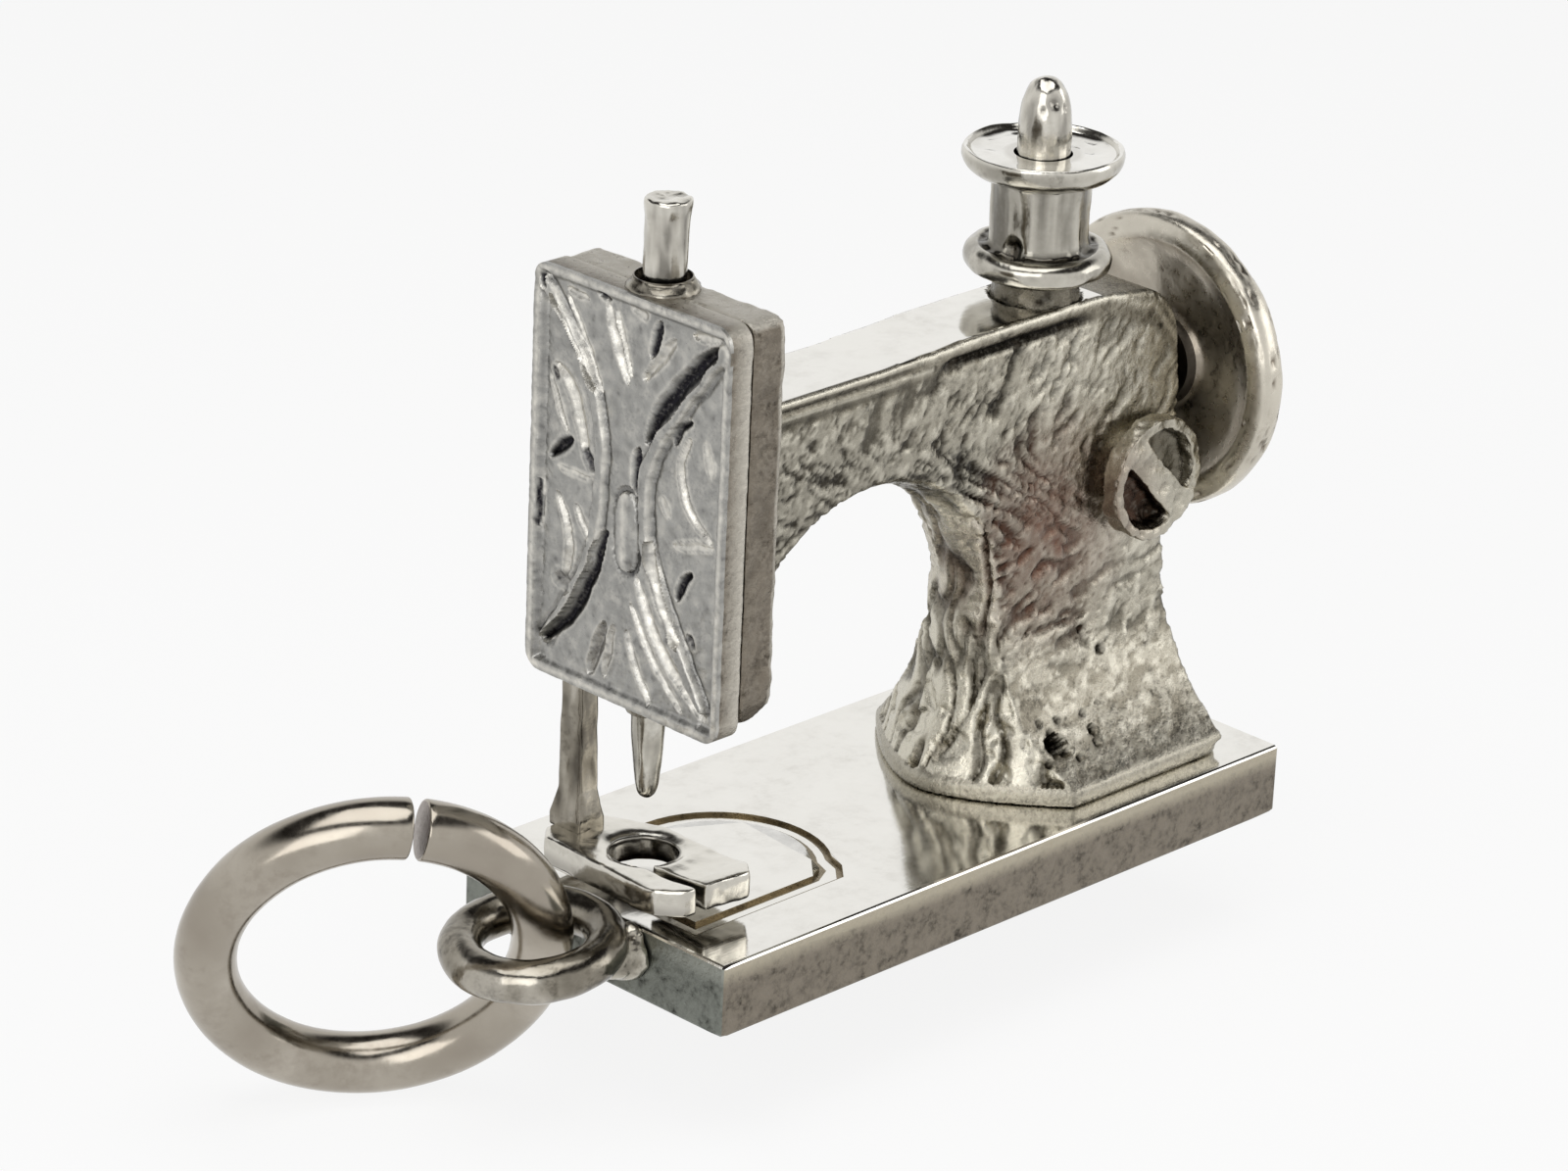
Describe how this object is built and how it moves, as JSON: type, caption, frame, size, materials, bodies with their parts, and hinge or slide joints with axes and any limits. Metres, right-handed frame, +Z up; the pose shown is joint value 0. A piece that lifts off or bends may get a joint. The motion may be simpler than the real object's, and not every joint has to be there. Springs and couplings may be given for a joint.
{
  "type": "sewing machine charm",
  "caption": "Small cast silver sewing machine charm with a bail and an open jump ring; turning the handwheel moves the needle up and down.",
  "frame": {"origin": "middle of the flat underside of the base", "axes": "+Z up out of the base, +X along the base from the needle end to the handwheel end, -Y towards the front of the machine"},
  "size_m": [0.0233, 0.008, 0.0183],
  "materials": {
    "polished_silver": "polished, lightly scratched",
    "cast_silver": "rough cast, dark in the hollows",
    "engraved_silver": "engraved, satin",
    "wheel_silver": "turned, lightly tarnished",
    "ring_silver": "smooth drawn wire",
    "solder_silver": "smooth, irregular",
    "inner_silver": "plain"
  },
  "bodies": {
    "machine": {"base_plate": "polished_silver", "bail": "polished_silver", "bail_solder": "solder_silver", "arm_column": "cast_silver", "head_housing": "engraved_silver", "face_plate": "engraved_silver", "top_bush": "solder_silver", "lower_bush": "solder_silver", "presser_bar": "cast_silver", "presser_foot": "polished_silver", "spool_seat": "polished_silver", "spool_pin": "polished_silver", "stitch_knob": "cast_silver"},
    "wheel": {"main_shaft": "inner_silver", "crank_disc": "inner_silver", "crank_pin": "inner_silver", "wheel_collar": "wheel_silver", "handwheel": "wheel_silver", "shaft_rivet": "wheel_silver"},
    "needle_set": {"needle_bar": "polished_silver", "needle_yoke": "inner_silver", "needle": "polished_silver"},
    "thread_spool": {"spool": "polished_silver"},
    "ring": {"jump_ring": "ring_silver"}
  },
  "joints": [
    {"name": "handwheel_turn", "type": "hinge", "parent": "machine", "child": "wheel", "pos_m": [0.007, -0.00025, 0.0092], "axis": [1, 0, 0], "range_deg": [0, 180]},
    {"name": "needle_slide", "type": "slide", "parent": "machine", "child": "needle_set", "axis": [0, 0, -1], "range_m": [0, 0.0014]},
    {"name": "spool_spin", "type": "hinge", "parent": "machine", "child": "thread_spool", "pos_m": [0.00342, -0.00025, 0.0132], "axis": [0, 0, 1], "continuous": true},
    {"name": "ring_swing", "type": "hinge", "parent": "machine", "child": "ring", "pos_m": [-0.00938, -0.00008, 0.0012], "axis": [0, 0, 1], "range_deg": [-70, 80]}
  ],
  "couplings": [
    {"joint": "handwheel_turn", "follows": "needle_slide", "rad_per_m": 2244}
  ]
}
